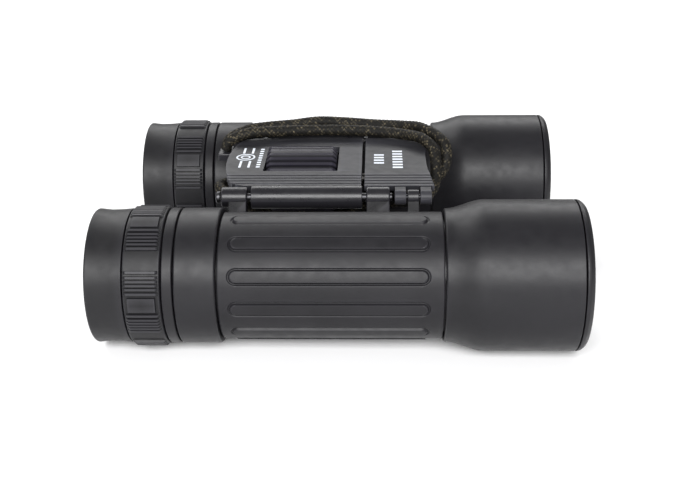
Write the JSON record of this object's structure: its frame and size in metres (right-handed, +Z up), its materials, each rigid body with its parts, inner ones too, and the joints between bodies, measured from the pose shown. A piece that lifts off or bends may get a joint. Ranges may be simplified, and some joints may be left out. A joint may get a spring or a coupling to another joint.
{
  "type": "binoculars",
  "caption": "Compact roof-prism binoculars with a double-hinged bridge, centre focusing wheel, rubber armour and a wrist strap.",
  "frame": {"origin": "on the ground, at the middle of the opened pair's length and width", "axes": "+X along the barrels from the eyecups to the objectives, +Y to the user's left, +Z up through the bridge's deck"},
  "size_m": [0.115, 0.1046, 0.0399],
  "materials": {
    "armour": "satin moulded rubber",
    "rubber": "matt moulded rubber",
    "housing": "satin soft-touch plastic",
    "deck": "satin moulded plastic",
    "wheel": "fluted rubber",
    "steel": "bright steel",
    "black_metal": "black anodised metal",
    "tube": "semi-gloss moulded plastic",
    "brass": "turned brass",
    "glass": "polished optical glass",
    "coated_glass": "polished glass with an anti-reflection coating",
    "cord": "braided nylon"
  },
  "bodies": {
    "bridge": {"bridge_cover": "deck", "bridge_frame": "black_metal", "belly_cover": "deck", "cover_screw_1": "steel", "cover_screw_2": "steel", "cover_screw_3": "steel", "cover_screw_4": "steel", "strap_anchor": "black_metal", "right_hinge_rod": "steel", "left_hinge_rod": "steel", "strap_top_near": "cord", "strap_under": "cord", "strap_top_far": "cord"},
    "right_barrel": {"right_barrel_tube": "tube", "right_rubber_armour": "armour", "right_eyepiece_housing": "housing", "right_collar": "housing", "right_front_housing": "housing", "right_front_rim": "housing", "right_prism_cage": "steel", "right_roof_prism": "glass", "right_half_prism": "glass"},
    "left_barrel": {"left_barrel_tube": "tube", "left_rubber_armour": "armour", "left_eyepiece_housing": "housing", "left_collar": "housing", "left_front_housing": "housing", "left_front_rim": "housing", "left_prism_cage": "steel", "left_roof_prism": "glass", "left_half_prism": "glass", "left_grip_ring": "rubber", "left_eyecup": "rubber", "left_ocular_tube": "black_metal", "left_eye_lens": "glass", "left_lens_spacer": "black_metal", "left_field_lens": "glass"},
    "right_focus": {"right_objective_cell": "black_metal", "right_objective_lens": "coated_glass", "right_objective_lens_ring": "black_metal", "right_focus_arm": "black_metal"},
    "left_focus": {"left_objective_cell": "black_metal", "left_objective_lens": "coated_glass", "left_objective_lens_ring": "black_metal", "left_focus_arm": "black_metal"},
    "focus_wheel": {"focus_wheel": "wheel", "lead_screw": "brass"},
    "focus_carriage": {"focus_carriage": "deck", "carriage_nut": "brass", "right_link_pin": "steel", "left_link_pin": "steel", "strap_front_near": "cord", "strap_front_far": "cord"},
    "right_dioptre": {"right_dioptre_ring": "rubber", "right_eyecup": "rubber"},
    "right_ocular": {"right_ocular_tube": "black_metal", "right_eye_lens": "glass", "right_lens_spacer": "black_metal", "right_field_lens": "glass"}
  },
  "joints": [
    {"name": "right_barrel_fold", "type": "hinge", "parent": "bridge", "child": "right_barrel", "pos_m": [-0.0075, -0.02201, 0.03305], "axis": [1, 0, 0], "range_deg": [0, 50]},
    {"name": "left_barrel_fold", "type": "hinge", "parent": "bridge", "child": "left_barrel", "pos_m": [-0.0075, 0.02201, 0.03305], "axis": [-1, 0, 0], "range_deg": [0, 50]},
    {"name": "focus_wheel_turn", "type": "hinge", "parent": "bridge", "child": "focus_wheel", "pos_m": [-0.0106, 0, 0.02985], "axis": [1, 0, 0], "range_deg": [0, 300]},
    {"name": "focus_carriage_slide", "type": "slide", "parent": "bridge", "child": "focus_carriage", "axis": [1, 0, 0], "range_m": [0, 0.0025]},
    {"name": "right_focus_slide", "type": "slide", "parent": "right_barrel", "child": "right_focus", "axis": [1, 0, 0], "range_m": [0, 0.0025]},
    {"name": "left_focus_slide", "type": "slide", "parent": "left_barrel", "child": "left_focus", "axis": [1, 0, 0], "range_m": [0, 0.0025]},
    {"name": "right_dioptre_turn", "type": "hinge", "parent": "right_barrel", "child": "right_dioptre", "pos_m": [-0.0445, -0.0343, 0.01795], "axis": [1, 0, 0], "range_deg": [-60, 60]},
    {"name": "right_ocular_slide", "type": "slide", "parent": "right_barrel", "child": "right_ocular", "axis": [1, 0, 0], "range_m": [-0.001, 0.001]}
  ],
  "couplings": [
    {"joint": "focus_wheel_turn", "follows": "focus_carriage_slide", "rad_per_m": 2094.4},
    {"joint": "right_focus_slide", "follows": "focus_carriage_slide", "ratio": 1},
    {"joint": "left_focus_slide", "follows": "focus_carriage_slide", "ratio": 1},
    {"joint": "right_dioptre_turn", "follows": "right_ocular_slide", "rad_per_m": 1047.2}
  ]
}
